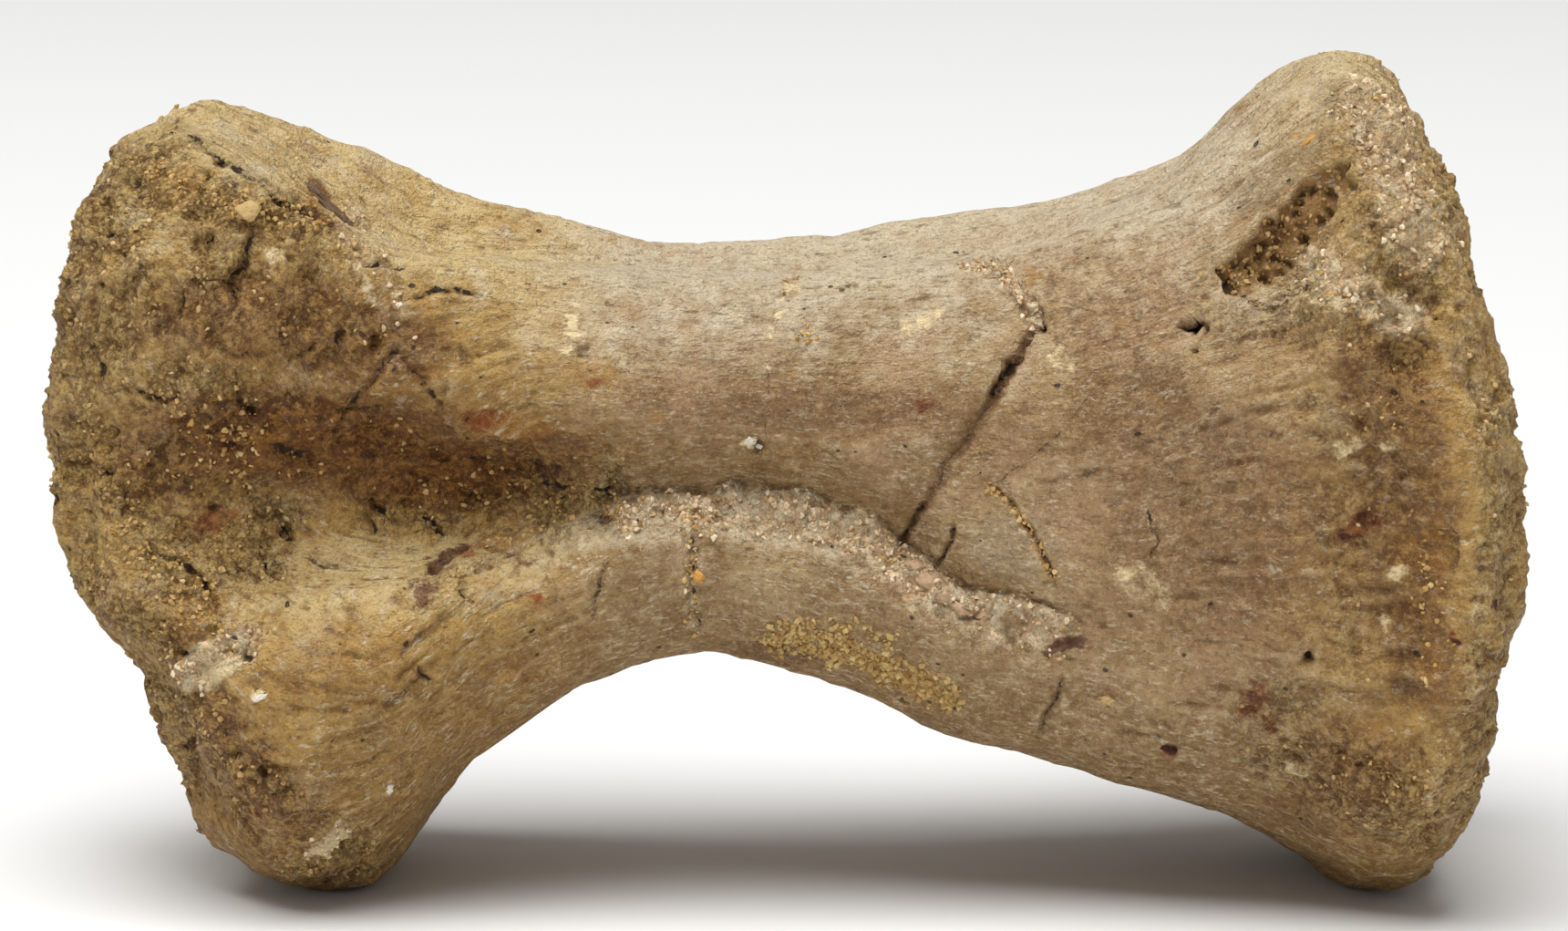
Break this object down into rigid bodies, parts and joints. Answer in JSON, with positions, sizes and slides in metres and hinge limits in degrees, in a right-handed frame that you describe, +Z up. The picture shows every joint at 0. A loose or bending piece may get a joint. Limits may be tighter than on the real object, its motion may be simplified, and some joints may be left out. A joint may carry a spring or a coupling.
{
  "type": "fossil spinosaurid bone",
  "caption": "Short hourglass limb bone with a two-knuckled end, a deep side hollow, a wide flared end and worn resting flats.",
  "frame": {"origin": "on the resting surface, below the middle of the bone's box", "axes": "+X along the bone to its wide end, -Y out of the face with the deep hollow and the crack, +Z up"},
  "size_m": [0.096, 0.0424, 0.055],
  "materials": {
    "fossil_bone": "matt mineralised bone, tan to brown, with sandy crust and crumbs of matrix"
  },
  "bodies": {
    "root": {"bone": "fossil_bone"}
  },
  "joints": []
}
